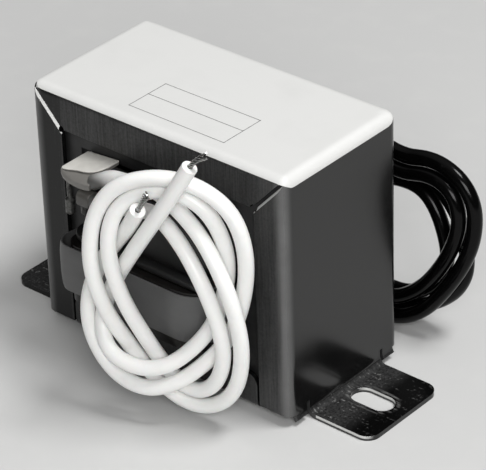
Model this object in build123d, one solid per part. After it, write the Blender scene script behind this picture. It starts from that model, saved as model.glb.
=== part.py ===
"""Small chassis-mount transformer in a folded channel frame, with knotted leads.

Millimetres, +Z up, origin on the floor at the middle of the two feet.
"""
from build123d import *
import math
import os

os.makedirs("parts", exist_ok=True)

# Core: E and I laminations with a five-eighths-inch tongue
leg = 7.94
window_height = 23.8
stack = 24.0

# Folded sheet: the channel frame and the keeper under the core
sheet = 0.8
inner_bend = 0.6
fit_gap = 0.2
side_lip = 5.9
top_lip = 6.4
mitre_slit = 0.5
mitre_chamfer = 0.35
mitre_relief = 0.6
keeper_rise = 1.1
keeper_height = 6.0
keeper_corner = 2.0
keeper_gap = 0.4

# Feet, bent out of the side panels
foot_length = 11.5
foot_width = 17.0
foot_bend = 1.2
foot_corner = 2.2
slot_width = 4.0
slot_length = 7.5
slot_spacing = 60.3
nick_width = 0.6
nick_height = 1.0
stub_angle = 45.0

# Moulded split bobbin
tube_gap = 0.2
bobbin_wall = 1.0
flange = 1.0
flange_depth = 4.6
flange_corner = 3.0
window_gap = 1.68
end_gap = 0.1
guide_end = -8.0
guide_inset = 0.1
guide_rise = 0.7
guide_drop = 1.35
guide_reach = 1.55
guide_crest = 1.2
guide_tip = 0.75
collar_length = 3.2
collar_height = 2.6
collar_corner = 0.9
cut_back = 1.0

# Windings and the tape round them
coil_gap = 0.1
coil_corner = 1.0
primary_build = 4.7
primary_inset = 0.26
primary_bulge = 1.0
secondary_build = 2.6
splice_corner = 2.4
tape = 0.6
tape_gap = 0.05
tape_below = 1.65
tape_above = 0.45

# Solder joints that hang from the top flange beside the upper winding
joint_radius = 0.75
joint_length = 3.0
joint_corner = 0.35
joint_wire = 0.4
joint_clear = 0.75
joint_spacing = 3.2
joint_rises = (2.9, 1.2)

# Label film on the top, wrapped over the bends
film = 0.15
film_corner = 4.2
film_margin = 0.6
film_drop_front = 0.75
film_drop_side = 1.7

# Leads: insulated wire and its stripped end
lead_radius = 1.2
strand_radius = 0.4
strand_start = 0.8
arc_share = 0.45

# Sizes that follow from the ones above
core_width = 6 * leg
core_bottom = keeper_rise + sheet + fit_gap
core_top = core_bottom + window_height + 2 * leg
frame_width = core_width + 2 * (fit_gap + sheet)
frame_depth = stack + 2 * (fit_gap + sheet)
frame_top = core_top + fit_gap + sheet
outer_bend = inner_bend + sheet
side_face = frame_width / 2
front_face = frame_depth / 2
bend_start = sheet + foot_bend
lip_edge = side_face - side_lip
tube_x = leg + tube_gap + bobbin_wall
tube_y = stack / 2 + tube_gap + bobbin_wall
flange_x = 2 * leg - window_gap
flange_y = tube_y + flange_depth
bobbin_bottom = core_bottom + leg + end_gap
bobbin_top = core_top - leg - end_gap
section = (bobbin_top - bobbin_bottom - 3 * flange) / 2
flange_levels = [bobbin_bottom + step * (section + flange) for step in range(3)]
primary_side = flange_x - primary_inset - (tube_x + coil_gap + primary_build)
upper_reach = coil_gap + secondary_build + tape_gap + tape
guide_back = -(tube_y + upper_reach + 3 * coil_gap)


def block(corner, opposite):
    """Box between two opposite corners."""
    size = [abs(b - a) for a, b in zip(corner, opposite)]
    middle = [(a + b) / 2 for a, b in zip(corner, opposite)]
    return Pos(*middle) * Box(*size)


def folded_box(half_x, half_y, low, high, radius):
    """Box with rounded top and upright edges, as bent sheet has."""
    body = block((-half_x, -half_y, low), (half_x, half_y, high))
    return fillet(body.edges().filter_by(Axis.Z) + body.edges().group_by(Axis.Z)[-1], radius)


def frame_skin(offset, low):
    """Outer form of the folded frame, grown by an offset."""
    return folded_box(side_face + offset, front_face + offset, low, frame_top + offset, outer_bend + offset)


def bent_strip(angle, end, width):
    """Sheet strip that turns outwards below the right side panel."""
    centre = (side_face + foot_bend, bend_start)
    inside = CenterArc(centre, foot_bend, 180, angle)
    outside = CenterArc(centre, foot_bend + sheet, 180 + angle, -angle)
    edges = [inside, outside, Line(outside @ 1, inside @ 0)]
    if end is None:
        edges.append(Line(inside @ 1, outside @ 0))
    else:
        tip = Line((end, sheet), (end, 0))
        edges += [Line(inside @ 1, tip @ 0), tip, Line(tip @ 1, outside @ 0)]
    return extrude(Plane.XZ * make_face(edges), width / 2, both=True)


def right_foot():
    """Slotted foot with rounded corners, and the short flared stubs beside it."""
    end = side_face + foot_length
    foot = bent_strip(90, end, foot_width)
    foot = fillet(foot.edges().filter_by(Axis.Z).group_by(Axis.X)[-1], foot_corner)
    slot = extrude(Pos(slot_spacing / 2, 0, 0) * SlotOverall(slot_length, slot_width), 2 * sheet, both=True)
    foot -= slot
    stub_low = foot_width / 2 + nick_width
    stub_width = front_face - outer_bend - stub_low
    stub = bent_strip(stub_angle, None, stub_width)
    return [foot] + [Pos(0, way * (stub_low + stub_width / 2), 0) * stub for way in (-1, 1)]


def mitre(way_x, way_y):
    """Slit between the top lip and a side lip, open through the corner."""
    spare = 2.0
    angle = math.atan2(top_lip, side_lip)
    length = math.hypot(top_lip, side_lip) + 2 * spare
    middle = (way_x * (side_face - side_lip / 2), way_y * front_face, frame_top - top_lip / 2)
    turn = -way_x * math.degrees(angle)
    bar = math.sqrt(2) * mitre_chamfer
    cut = Box(length, 2 * outer_bend, mitre_slit)
    cut += Pos(0, 0, -mitre_slit / 2) * Rot(45, 0, 0) * Box(length, bar, bar)
    cut = Pos(*middle) * Rot(0, turn, 0) * cut
    inner = (way_x * lip_edge, way_y * front_face, frame_top - top_lip)
    return cut + Pos(*inner) * Rot(90, 0, 0) * Cylinder(mitre_relief, 2 * outer_bend)


def channel_frame():
    """One folded strap: top, sides, lips front and rear, and feet."""
    low = bend_start - sheet
    hollow = folded_box(side_face - sheet, front_face - sheet, low, frame_top - sheet, inner_bend)
    body = frame_skin(0, bend_start) - hollow
    opening = block((-lip_edge, -2 * front_face, 0), (lip_edge, 2 * front_face, frame_top - top_lip))
    body -= opening
    for way_x in (-1, 1):
        for way_y in (-1, 1):
            body -= mitre(way_x, way_y)
            near = way_y * foot_width / 2
            far = near + way_y * nick_width
            body -= block((way_x * (side_face - 2 * sheet), near, 0),
                          (way_x * (side_face + sheet), far, bend_start + nick_height))
    for piece in right_foot():
        body += piece
        body += mirror(piece, about=Plane.YZ)
    return body


def base_channel():
    """Keeper under the core, its front and rear flanges in line with the lips."""
    half = lip_edge - keeper_gap
    top = keeper_rise + keeper_height
    outer = block((-half, -front_face, keeper_rise), (half, front_face, top))
    outer = fillet(outer.edges().filter_by(Axis.X).group_by(Axis.Z)[0], outer_bend)
    wall = front_face - sheet
    inner = block((-2 * half, -wall, keeper_rise + sheet), (2 * half, wall, 2 * top))
    inner = fillet(inner.edges().filter_by(Axis.X).group_by(Axis.Z)[0], inner_bend)
    body = outer - inner
    return fillet(body.edges().filter_by(Axis.Y).group_by(Axis.Z)[-1], keeper_corner)


def e_laminations():
    """Stack of E sheets: a yoke on top and three legs."""
    half = core_width / 2
    low = core_bottom + leg
    body = block((-half, -stack / 2, low), (half, stack / 2, core_top))
    for way in (-1, 1):
        middle = Pos(way * 1.5 * leg, 0, low + window_height / 2)
        body -= middle * Box(leg, 2 * stack, window_height)
    return body


def i_laminations():
    """Stack of I sheets that closes the legs below."""
    half = core_width / 2
    return block((-half, -stack / 2, core_bottom), (half, stack / 2, core_bottom + leg))


def rounded_plate(half_x, half_y, corner, low, high):
    """Upright prism with a rounded rectangle in plan."""
    plan = Pos(0, 0, low) * RectangleRounded(2 * half_x, 2 * half_y, corner)
    return extrude(plan, high - low)


def guide_section(x, top, crest, nose, tip):
    """Cross-section of the front lead guide: flat top, rounded front, step behind."""
    back = -(tube_y + cut_back)
    low = bobbin_top - flange
    edges = [
        Line((back, top), (crest, top)),
        ThreePointArc((crest, top), nose, tip),
        Line(tip, (guide_back, tip[1])),
        Line((guide_back, tip[1]), (guide_back, low)),
        Line((guide_back, low), (back, low)),
        Line((back, low), (back, top)),
    ]
    return Plane.YZ.offset(x) * make_face(edges)


def front_guide():
    """Moulded guide that swells round the first front lead, and a collar for the second."""
    left = guide_inset - flange_x
    rim = -(flange_y + guide_tip)
    front = -(flange_y + guide_reach)
    high = bobbin_top + guide_rise
    low = bobbin_top - flange
    thin = guide_section(left, bobbin_top, rim + flange / 2, (rim, bobbin_top - flange / 2),
                         (rim + flange / 2, low + coil_gap))
    wide = guide_section(guide_end, high, guide_crest - flange_y,
                         (front + flange / 2, bobbin_top), (front, low - guide_drop))
    collar_top = low - guide_drop + coil_gap
    collar = block((guide_end - collar_length, guide_back, collar_top - collar_height),
                   (guide_end, front, collar_top))
    collar = fillet(collar.edges().filter_by(Axis.X), collar_corner)
    return loft([thin, wide], ruled=True) + collar


def bobbin():
    """Split bobbin: square tube, three flanges and a lead guide front and rear."""
    body = rounded_plate(tube_x, tube_y, coil_corner, bobbin_bottom, bobbin_top)
    for level in flange_levels:
        body += rounded_plate(flange_x, flange_y, flange_corner, level, level + flange)
    for way in (-1, 1):
        near = way * (tube_y + cut_back)
        far = way * 2 * flange_y
        body -= block((guide_end, near, flange_levels[2]), (2 * flange_x, far, bobbin_top + flange))
        guide = front_guide()
        body += guide if way < 0 else mirror(guide, about=Plane.XZ)
    hole_x = leg + tube_gap
    hole_y = stack / 2 + tube_gap
    return body - block((-hole_x, -hole_y, 0), (hole_x, hole_y, 2 * bobbin_top))


def section_ends(level):
    """Bottom and top of the winding space above a flange."""
    return flange_levels[level] + flange + coil_gap, flange_levels[level + 1] - coil_gap


def coil_prism(reach, bulge, left, low, high, side=0):
    """Upright prism round the tube: fuller in front and tighter cornered on the left."""
    width = 2 * (tube_x + reach + side)
    depth = 2 * (tube_y + reach) + bulge
    plan = Pos(0, -bulge / 2) * Rectangle(width, depth)
    sides = plan.vertices().group_by(Axis.X)
    right = coil_corner + reach
    plan = fillet(sides[0], min(left, right))
    plan = fillet(plan.vertices().group_by(Axis.X)[-1], right)
    return extrude(Pos(0, 0, low) * plan, high - low)


def winding(build, bulge, level, side=0):
    """Wire wound on the tube, with more or less of it beside the tube than in front."""
    low, high = section_ends(level)
    solid = coil_prism(coil_gap + build, bulge, splice_corner, low, high, side)
    return solid - coil_prism(coil_gap, 0, splice_corner, low - flange, high + flange)


def wrap(build, bulge, level, below, above, side=0):
    """Tape round a winding."""
    low, high = section_ends(level)
    inner = coil_gap + build + tape_gap
    solid = coil_prism(inner + tape, bulge, splice_corner + tape_gap + tape, low + below, high - above, side)
    return solid - coil_prism(inner, bulge, splice_corner + tape_gap, low, high, side)


def solder_joint(number, way):
    """Solder lump on its wire below the top flange, beside the upper tape."""
    x = -(tube_x + upper_reach + joint_clear + joint_radius)
    y = -(flange_y - joint_radius) + number * joint_spacing
    middle = flange_levels[1] + flange + joint_rises[number] + joint_length / 2
    lump = Pos(x, y, middle) * Cylinder(joint_radius, joint_length)
    lump = chamfer(lump.edges(), joint_corner)
    wire = flange_levels[2] - middle
    body = lump + Pos(x, y, middle + wire / 2) * Cylinder(joint_wire, wire)
    return body if way < 0 else mirror(body, about=Plane.XZ)


def label():
    """Blank film over the top, its edges turned down over the bends."""
    body = frame_skin(film, frame_top - film_drop_side) - frame_skin(0, 0)
    grown = film + film_margin
    body &= rounded_plate(side_face + grown, front_face + grown, film_corner, 0, 2 * frame_top)
    for way in (-1, 1):
        strip_low = (-2 * side_face, way * (front_face - 2 * film), 0)
        body -= block(strip_low, (2 * side_face, way * 2 * front_face, frame_top - film_drop_front))
    return body


# Routes of the leads, from the lead guide to the stripped end
white_1_route = [
    (-8.0, -17.8, 32.9), (-5.2, -17.8, 32.9), (-1.2, -18.5, 34.8), (4.5, -19.8, 38.4), (9.1, -19.4, 36.7),
    (14.6, -20.0, 34.0), (18.5, -20.3, 29.1), (20.6, -19.7, 22.8), (21.2, -18.9, 15.7), (19.7, -18.6, 8.5),
    (16.0, -18.8, 3.9), (11.3, -19.7, 2.5), (6.0, -20.7, 4.8), (2.4, -22.2, 10.1), (0.7, -26.0, 18.3),
    (-0.6, -27.4, 26.3), (-0.2, -26.7, 34.2), (2.7, -25.0, 39.9), (8.5, -22.6, 43.0), (14.6, -20.2, 42.9),
    (19.8, -18.1, 39.3), (21.5, -16.9, 32.4), (20.1, -16.3, 23.7), (17.3, -17.0, 15.7), (14.2, -19.1, 10.4),
    (11.3, -22.7, 7.4), (6.6, -24.9, 5.9), (0.8, -25.4, 7.4), (-3.5, -25.1, 12.0), (-4.1, -24.8, 18.0),
    (-1.9, -24.0, 24.6), (1.2, -22.6, 29.4), (4.6, -23.7, 33.4), (7.3, -24.7, 37.4),
]
white_2_route = [
    (-8.0, -18.05, 30.2), (-4.6, -18.05, 30.2), (1.5, -19.2, 33.0), (6.2, -19.6, 33.9), (11.3, -20.3, 31.1),
    (15.7, -20.9, 26.2), (18.2, -20.5, 19.8), (18.5, -19.9, 13.7), (16.3, -19.7, 8.1), (12.5, -19.9, 5.5),
    (8.4, -20.1, 6.6), (4.8, -21.5, 12.1), (3.5, -25.3, 21.3), (2.0, -26.3, 29.1), (2.7, -25.3, 35.8),
    (6.0, -22.7, 39.2), (11.0, -20.5, 40.0), (15.2, -18.9, 37.7), (17.4, -17.8, 32.8), (17.2, -16.8, 26.1),
    (15.3, -17.7, 18.3), (12.7, -19.6, 13.6), (10.2, -23.3, 10.8), (5.8, -25.4, 9.8), (0.8, -26.3, 11.5),
    (-1.9, -24.3, 15.5), (-0.1, -22.9, 21.4), (5.8, -23.4, 30.2), (12.0, -24.0, 39.5), (16.2, -23.0, 46.9),
]
black_1_route = [
    (-8.0, 17.8, 32.9), (-4.6, 17.8, 32.9), (0.2, 19.0, 34.6), (5.2, 20.2, 35.0), (11.0, 20.8, 33.2),
    (18.7, 21.2, 29.9), (25.0, 21.5, 30.9), (30.2, 21.5, 29.3), (33.0, 21.4, 25.5), (33.3, 21.0, 20.3),
    (31.8, 20.4, 15.1), (28.7, 19.7, 9.5), (25.2, 19.1, 4.8), (20.4, 18.8, 1.7), (14.6, 18.8, 1.5),
    (8.9, 19.1, 3.8), (4.9, 19.8, 8.5), (3.9, 20.8, 14.8), (5.4, 21.9, 20.0), (9.0, 23.0, 24.2),
    (14.0, 23.9, 26.6), (19.4, 24.3, 26.6), (24.3, 24.3, 24.4), (28.0, 24.1, 20.6), (29.7, 23.7, 16.5),
    (30.6, 23.0, 12.3), (29.1, 22.4, 8.3), (25.8, 21.9, 4.8), (21.6, 21.6, 2.4), (16.8, 21.5, 1.6),
    (11.9, 21.6, 2.9), (7.7, 22.1, 6.3), (5.0, 22.8, 10.9), (4.2, 23.7, 15.9), (5.6, 24.9, 20.8),
    (8.6, 25.9, 24.6),
]
black_2_route = [
    (-8.0, 18.05, 30.2), (-4.6, 18.05, 30.2), (0.2, 18.3, 31.3), (5.2, 19.0, 31.5), (11.0, 19.9, 30.0),
    (19.2, 20.6, 27.4), (24.9, 20.8, 28.4), (29.1, 20.8, 27.0), (30.9, 20.5, 23.2), (30.3, 20.1, 18.7),
    (27.4, 19.7, 13.9), (23.4, 19.4, 9.1), (18.2, 19.3, 5.0), (13.0, 19.3, 5.2), (8.8, 19.9, 8.9),
    (7.0, 20.8, 14.0), (8.4, 22.0, 19.0), (12.3, 23.2, 22.6), (16.8, 23.9, 23.4), (20.9, 23.9, 23.3),
    (23.7, 23.7, 21.2), (25.8, 23.3, 17.6), (27.2, 22.7, 13.8), (26.3, 22.2, 9.9), (23.2, 21.9, 6.4),
    (19.2, 21.8, 4.6), (14.6, 21.8, 4.6), (10.3, 22.1, 7.4), (7.6, 23.0, 11.6), (7.0, 24.0, 16.3),
    (8.6, 25.1, 20.6), (11.8, 26.2, 23.4),
]
white_1_end = [(1.7, -0.6, 2.4), (2.9, -1.0, 4.0)]
white_2_end = [(1.5, 0.3, 1.75), (2.9, 0.6, 2.5)]
black_1_end = [(1.6, 0.5, 1.9), (2.6, 0.7, 3.1)]
black_2_end = [(1.9, 0.6, 1.6), (3.3, 0.9, 2.5)]


def soft_path(points):
    """Straight runs joined by the largest arcs that they allow, with the radii."""
    spots = [Vector(*p) for p in points]
    radii = []
    for before, here, after in zip(spots, spots[1:], spots[2:]):
        run_in = here - before
        run_out = after - here
        turn = math.radians(run_in.get_angle(run_out))
        radii.append(arc_share * min(run_in.length, run_out.length) / math.tan(turn / 2))
    return FilletPolyline(*spots, radius=radii), radii


def tube(points, radius):
    """Round wire along a route."""
    path, radii = soft_path(points)
    print(f"length {path.length:.1f} mm, radii {min(radii):.1f} to {max(radii):.1f} mm")
    return sweep(Plane(path @ 0, z_dir=path % 0) * Circle(radius), path)


def strands(route, steps):
    """Twisted bare strands beyond the insulation."""
    start = Vector(*route[-1])
    ahead = (start - Vector(*route[-2])).normalized()
    spots = [start, start + ahead * strand_start]
    spots += [start + Vector(*step) for step in steps]
    return tube(spots, strand_radius)


nodes = {
    "channel_frame": channel_frame(),
    "base_channel": base_channel(),
    "e_laminations": e_laminations(),
    "i_laminations": i_laminations(),
    "bobbin": bobbin(),
    "primary_winding": winding(primary_build, primary_bulge, 0, primary_side),
    "primary_wrap": wrap(primary_build, primary_bulge, 0, tape_below, tape_above, primary_side),
    "secondary_winding": winding(secondary_build, 0, 1),
    "secondary_wrap": wrap(secondary_build, 0, 1, 0, 0),
    "label": label(),
    "white_lead_1": tube(white_1_route, lead_radius),
    "white_lead_2": tube(white_2_route, lead_radius),
    "black_lead_1": tube(black_1_route, lead_radius),
    "black_lead_2": tube(black_2_route, lead_radius),
    "white_strands_1": strands(white_1_route, white_1_end),
    "white_strands_2": strands(white_2_route, white_2_end),
    "black_strands_1": strands(black_1_route, black_1_end),
    "black_strands_2": strands(black_2_route, black_2_end),
}
for number in range(len(joint_rises)):
    nodes[f"white_joint_{number + 1}"] = solder_joint(number, -1)
    nodes[f"black_joint_{number + 1}"] = solder_joint(number, 1)

for name, solid in nodes.items():
    export_step(solid, f"parts/{name}.step")
    print(f"{name}: {len(solid.solids())} solid, {solid.volume:.1f} mm3, valid {solid.is_valid}")
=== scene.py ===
"""Looks of a small framed transformer: finishes, tape, label rules, leads and studio."""
import logging
import math
from collections.abc import Callable
from dataclasses import dataclass, field
from enum import Enum

import bmesh
import bpy
from mathutils import Matrix, Vector, noise


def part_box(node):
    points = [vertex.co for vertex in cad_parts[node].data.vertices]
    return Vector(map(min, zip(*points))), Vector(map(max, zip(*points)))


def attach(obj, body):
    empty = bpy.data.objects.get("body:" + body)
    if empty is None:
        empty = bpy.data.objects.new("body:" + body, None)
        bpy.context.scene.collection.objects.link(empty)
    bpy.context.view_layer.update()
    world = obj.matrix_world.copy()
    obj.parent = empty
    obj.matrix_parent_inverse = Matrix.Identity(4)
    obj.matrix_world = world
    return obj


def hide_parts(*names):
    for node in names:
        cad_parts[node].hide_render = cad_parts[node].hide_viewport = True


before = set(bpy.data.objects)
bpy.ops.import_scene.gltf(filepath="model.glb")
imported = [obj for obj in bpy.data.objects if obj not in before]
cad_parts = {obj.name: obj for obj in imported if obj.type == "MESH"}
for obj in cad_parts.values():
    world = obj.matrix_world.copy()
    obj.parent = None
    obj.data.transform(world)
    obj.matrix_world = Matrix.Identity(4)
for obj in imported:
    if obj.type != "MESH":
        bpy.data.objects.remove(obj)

LOG = logging.getLogger("transformer")
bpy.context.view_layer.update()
BODY = "root"
MM = 0.001
# Edges that turn by more than this stay sharp
SHARP_TURN = math.radians(38)

Spot = tuple[float, float, float]
Span = tuple[float, float]
Corners = tuple[float, float, float, float]
Axes = tuple[Vector, Vector, Vector]
Faces = list[tuple[int, ...]]
Shell = tuple[list[Vector], Faces]
Tree = bpy.types.NodeTree
Node = bpy.types.Node
Socket = bpy.types.NodeSocket
NodeValue = Node | Socket | float | tuple
Feeds = dict[str | int, NodeValue]


class LeadColour(Enum):
    """Colour of a lead's insulation."""

    WHITE = "white"
    BLACK = "black"


class Ends(Enum):
    """What becomes of the first and the last of a row of rings."""

    OPEN = "open"
    CAPPED = "capped"
    JOINED = "joined"


def linear(code: str) -> tuple[float, float, float, float]:
    """Turns an sRGB hex colour into linear light.

    Args:
        code: Colour such as "#c8c8c4".

    Returns:
        Red, green, blue and an alpha of one.
    """
    parts = [int(code[start:start + 2], 16) / 255 for start in (1, 3, 5)]
    light = [part / 12.92 if part <= 0.04045 else ((part + 0.055) / 1.055) ** 2.4 for part in parts]
    return (*light, 1.0)


def scale_for(size_mm: float) -> float:
    """Gives the texture scale at which one feature is so many millimetres wide."""
    return 1000.0 / size_mm


def metres(span: Span) -> Span:
    """Turns a span from millimetres to metres."""
    return (span[0] * MM, span[1] * MM)


def feed(tree: Tree, node: Node, inputs: Feeds) -> None:
    """Sets a node's inputs, or links them where a node or its output is given.

    Args:
        tree: Node tree of the node.
        node: Node that gets the inputs.
        inputs: What each socket gets. A node stands for its first output in use.
    """
    for name, value in inputs.items():
        if isinstance(value, Node):
            value = next(output for output in value.outputs if output.enabled)
        if isinstance(value, Socket):
            tree.links.new(value, node.inputs[name])
        else:
            node.inputs[name].default_value = value


def add_node(
    tree: Tree, kind: str, *values: NodeValue, inputs: Feeds | None = None, **settings: object
) -> Node:
    """Adds a shader node with its settings and links.

    Args:
        tree: Node tree that gets the node.
        kind: Blender's name of the shader node, without its usual start.
        *values: What its sockets in use get, in their order.
        inputs: What further sockets get, by name.
        **settings: Properties of the node.

    Returns:
        The new node.
    """
    node = tree.nodes.new(f"ShaderNode{kind}")
    for name, value in settings.items():
        setattr(node, name, value)
    in_use = [number for number, socket in enumerate(node.inputs) if socket.enabled]
    feed(tree, node, dict(zip(in_use, values)) | (inputs or {}))
    return node


@dataclass(frozen=True)
class Finish:
    """A surface of one real material, before its fine detail. Sizes and places are in millimetres."""

    name: str
    colour: str
    roughness: float
    metallic: float = 0.0
    ior: float = 1.5

    def material(self) -> bpy.types.Material:
        """Makes the material.

        Returns:
            The material, with its detail linked in.
        """
        made = bpy.data.materials.new(self.name)
        made.use_nodes = True
        tree = made.node_tree
        tree.nodes.clear()
        shader = add_node(tree, "BsdfPrincipled", inputs={
            "Base Color": linear(self.colour),
            "Roughness": self.roughness,
            "Metallic": self.metallic,
            "IOR": self.ior,
        })
        add_node(tree, "OutputMaterial", shader)
        feed(tree, shader, self.detail(tree, add_node(tree, "TexCoord")))
        return made

    def detail(self, tree: Tree, coords: Node) -> Feeds:
        """Adds nothing by default.

        Args:
            tree: Node tree of the material.
            coords: Where a point lies on the part.

        Returns:
            What feeds the surface shader.
        """
        return {}


@dataclass(frozen=True)
class SheetPoint:
    """What the varnish depends on at a point of the sheet.

    Its place, its distance out from the middle plane, how far it faces the front or the rear
    and up or down, whether it is low, and the slow and the fine unevenness there.
    """

    place: Socket
    x: Socket
    y: Socket
    z: Socket
    out: Node
    front: Node
    level: Node
    low: Node
    clouds: Node
    specks: Node


@dataclass(frozen=True)
class VarnishedSteel(Finish):
    """Cold-rolled sheet dipped in dark baking varnish.

    A dark skin that mirrors the floor softly. The narrow lips keep fine upright
    drawing lines, the bends carry a painted highlight, the lips at the left carry painted
    shade and those at the right painted light, the feet are gritty and darker, the left
    foot is painted lighter, and the sheet is bright where it was cut, except for painted
    shade along the bottom of the feet's cut edges and over the left foot's cut edge.
    """

    bare: str = "#d6d6d4"
    line_colour: str = "#4f4f4f"
    # Colour of the painted highlight on the upright bends
    bend_highlight_colour: str = "#767676"
    foot_colour: str = "#0d0d0d"
    # Lighter colour of wear, also laid over the whole left foot as painted light
    wear_and_light_colour: str = "#474747"
    cloud: float = 6.0
    speck: float = 0.45
    noise_band: Span = (0.3, 0.7)
    edge_radius: float = 0.1
    relief: float = 0.03
    # Lips face the front or the rear
    lip_facing: Span = (0.6, 1.0)
    lip_roughness: float = 0.42
    lip_metallic: float = 0.45
    burr_metallic: float = 0.15
    gloss_drift: float = 0.12
    # Drawing lines, full on the lips and faint on the panels
    line_pitch: float = 0.3
    line_length: float = 8.0
    line_band: Span = (0.32, 0.74)
    line_facing: Span = (0.75, 1.0)
    line_share: Span = (0.06, 1.0)
    line_level: float = 1.28
    line_middle: float = 0.5
    line_least: float = -0.7
    speck_gain: float = 1.6
    # Painted shade on the lips at the left and painted light on those at the right
    left_lip_reach: Span = (-18.5, -20.0)
    left_lip_painted_shade: Span = (0.0, -0.9)
    right_lip_reach: Span = (18.0, 20.5)
    right_lip_painted_light: Span = (-0.5, -0.1)
    # Painted highlight along the upright bends
    bend_x: Span = (22.3, 24.4)
    bend_y: Span = (11.3, 12.6)
    bend_highlight_share: Span = (0.75, 1.0)
    # Feet
    foot_height: float = 1.7
    foot_level: Span = (0.2, 0.8)
    wear_by_bend: Span = (31.5, 28.0)
    wear_by_front: Span = (0.5, -3.5)
    wear_inside: Span = (33.5, 29.0)
    left_foot: Span = (-20.0, -24.0)
    left_foot_painted_light: Span = (0.0, 0.8)
    grit: Span = (0.35, 1.4)
    scratch_width: float = 0.5
    scratch_length: float = 3.0
    scratch_turn: float = 0.5
    mark_band: Span = (0.33, 0.42)
    mark_share: Span = (0.0, 0.5)
    mark_spread: Span = (0.3, 1.0)
    # Rings round the slots
    slot_place: float = 30.15
    slot_straight: float = 1.75
    slot_radius: float = 2.0
    ring_gap: float = 0.45
    ring_fade: Span = (0.45, 0.1)
    ring_band: Span = (0.45, 0.7)
    ring_share: Span = (0.0, 0.4)
    # Cut edges of the feet and the mitres
    sheared_facing: Span = (0.45, 0.9)
    wall_level: float = 0.4
    # Cut edges left of here stay dark: painted shade
    lit_from: float = 26.0
    # Below this height a cut edge stays dark: painted shade where it meets the floor
    lit_height: Span = (0.3, 0.42)
    mitre_from: float = 30.0
    mitre_level: Span = (0.5, 0.2)
    mitre_front: Span = (0.7, 0.2)

    def detail(self, tree: Tree, coords: Node) -> Feeds:
        """Links drawing lines, painted highlights on the bends, gritty feet and bare cut edges.

        Args:
            tree: Node tree of the material.
            coords: Where a point lies on the part.

        Returns:
            What feeds the surface shader.
        """
        here = self.sheet_point(tree, coords.outputs["Object"])
        flat = add_node(tree, "MapRange", here.level, *self.foot_level)
        foot = add_node(tree, "Math", here.low, flat, operation="MULTIPLY")
        cut = self.cut_edges(tree, here)
        skin = self.drawn_lines(tree, here)
        for share, colour in (
            # The upright bends get a painted highlight
            (self.painted_bend_highlight(tree, here), linear(self.bend_highlight_colour)),
            (foot, self.foot_skin(tree, here)),
            (cut, linear(self.bare)),
        ):
            skin = add_node(tree, "Mix", share, skin, colour, data_type="RGBA")
        # The drawn lips are duller than the flat panels: more scatter, less mirror
        gloss, metal = (
            add_node(tree, "MapRange", here.front, *self.lip_facing, panel, lip)
            for panel, lip in ((self.roughness, self.lip_roughness), (self.metallic, self.lip_metallic)))
        gloss = add_node(tree, "Math", here.clouds, self.gloss_drift, gloss, operation="MULTIPLY_ADD")
        gloss = add_node(tree, "Math", gloss, self.gloss_drift / 2, operation="SUBTRACT")
        # The feet scatter light as the lips do, and the rough burr on a cut scatters more
        for share, sheen in ((foot, self.lip_metallic), (cut, self.burr_metallic)):
            metal = add_node(tree, "Mix", share, metal, sheen)
        soft = add_node(tree, "Bevel", self.edge_radius * MM, samples=6)
        bump = add_node(tree, "Bump", inputs={
            "Strength": 0.2, "Distance": self.relief * MM, "Height": skin, "Normal": soft})
        return {"Base Color": skin, "Roughness": gloss, "Metallic": metal, "Normal": bump}

    def sheet_point(self, tree: Tree, place: Socket) -> SheetPoint:
        """Links what the varnish depends on.

        Args:
            tree: Node tree of the material.
            place: Place on the part.

        Returns:
            The values at a point of the sheet.
        """
        spot = add_node(tree, "SeparateXYZ", place).outputs
        normal = add_node(tree, "SeparateXYZ", add_node(tree, "NewGeometry").outputs["Normal"]).outputs
        out, front, level = (
            add_node(tree, "Math", way, operation="ABSOLUTE")
            for way in (spot["X"], normal["Y"], normal["Z"]))
        low = add_node(tree, "Math", spot["Z"], self.foot_height * MM, operation="LESS_THAN")
        clouds = add_node(tree, "TexNoise", inputs={
            "Vector": place, "Scale": scale_for(self.cloud), "Detail": 4.0, "Roughness": 0.6})
        specks = add_node(tree, "TexNoise", inputs={
            "Vector": place, "Scale": scale_for(self.speck), "Detail": 3.0, "Roughness": 0.7})
        return SheetPoint(place, spot["X"], spot["Y"], spot["Z"], out, front, level, low, clouds, specks)

    def painted_bend_highlight(self, tree: Tree, here: SheetPoint) -> Node:
        """Links the painted highlight: a lighter band along the upright bends.

        Args:
            tree: Node tree of the material.
            here: Point of the sheet.

        Returns:
            Share of the painted highlight.
        """
        share = add_node(tree, "MapRange", here.clouds, *self.noise_band, *self.bend_highlight_share)
        forth = add_node(tree, "Math", here.y, operation="ABSOLUTE")
        for reach, span in ((here.out, self.bend_x), (forth, self.bend_y)):
            near = add_node(tree, "MapRange", reach, *metres(span), interpolation_type="SMOOTHSTEP")
            share = add_node(tree, "Math", share, near, operation="MULTIPLY")
        return share

    def drawn_lines(self, tree: Tree, here: SheetPoint) -> Node:
        """Links the upright lines that rolling left, which show on the lips, with painted shade on the lips
        at the left and painted light on those at the right.

        Args:
            tree: Node tree of the material.
            here: Point of the sheet.

        Returns:
            Colour of the varnished sheet.
        """
        across, along = scale_for(self.line_pitch), scale_for(self.line_length)
        drawn = add_node(tree, "Mapping", inputs={"Vector": here.place, "Scale": (across, across, along)})
        lines = add_node(tree, "TexNoise", inputs={
            "Vector": drawn, "Scale": 1.0, "Detail": 4.0, "Roughness": 0.65})
        line = add_node(tree, "MapRange", lines, *self.line_band)
        line = add_node(tree, "Math", here.specks, self.speck_gain, line, operation="MULTIPLY_ADD")
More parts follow.
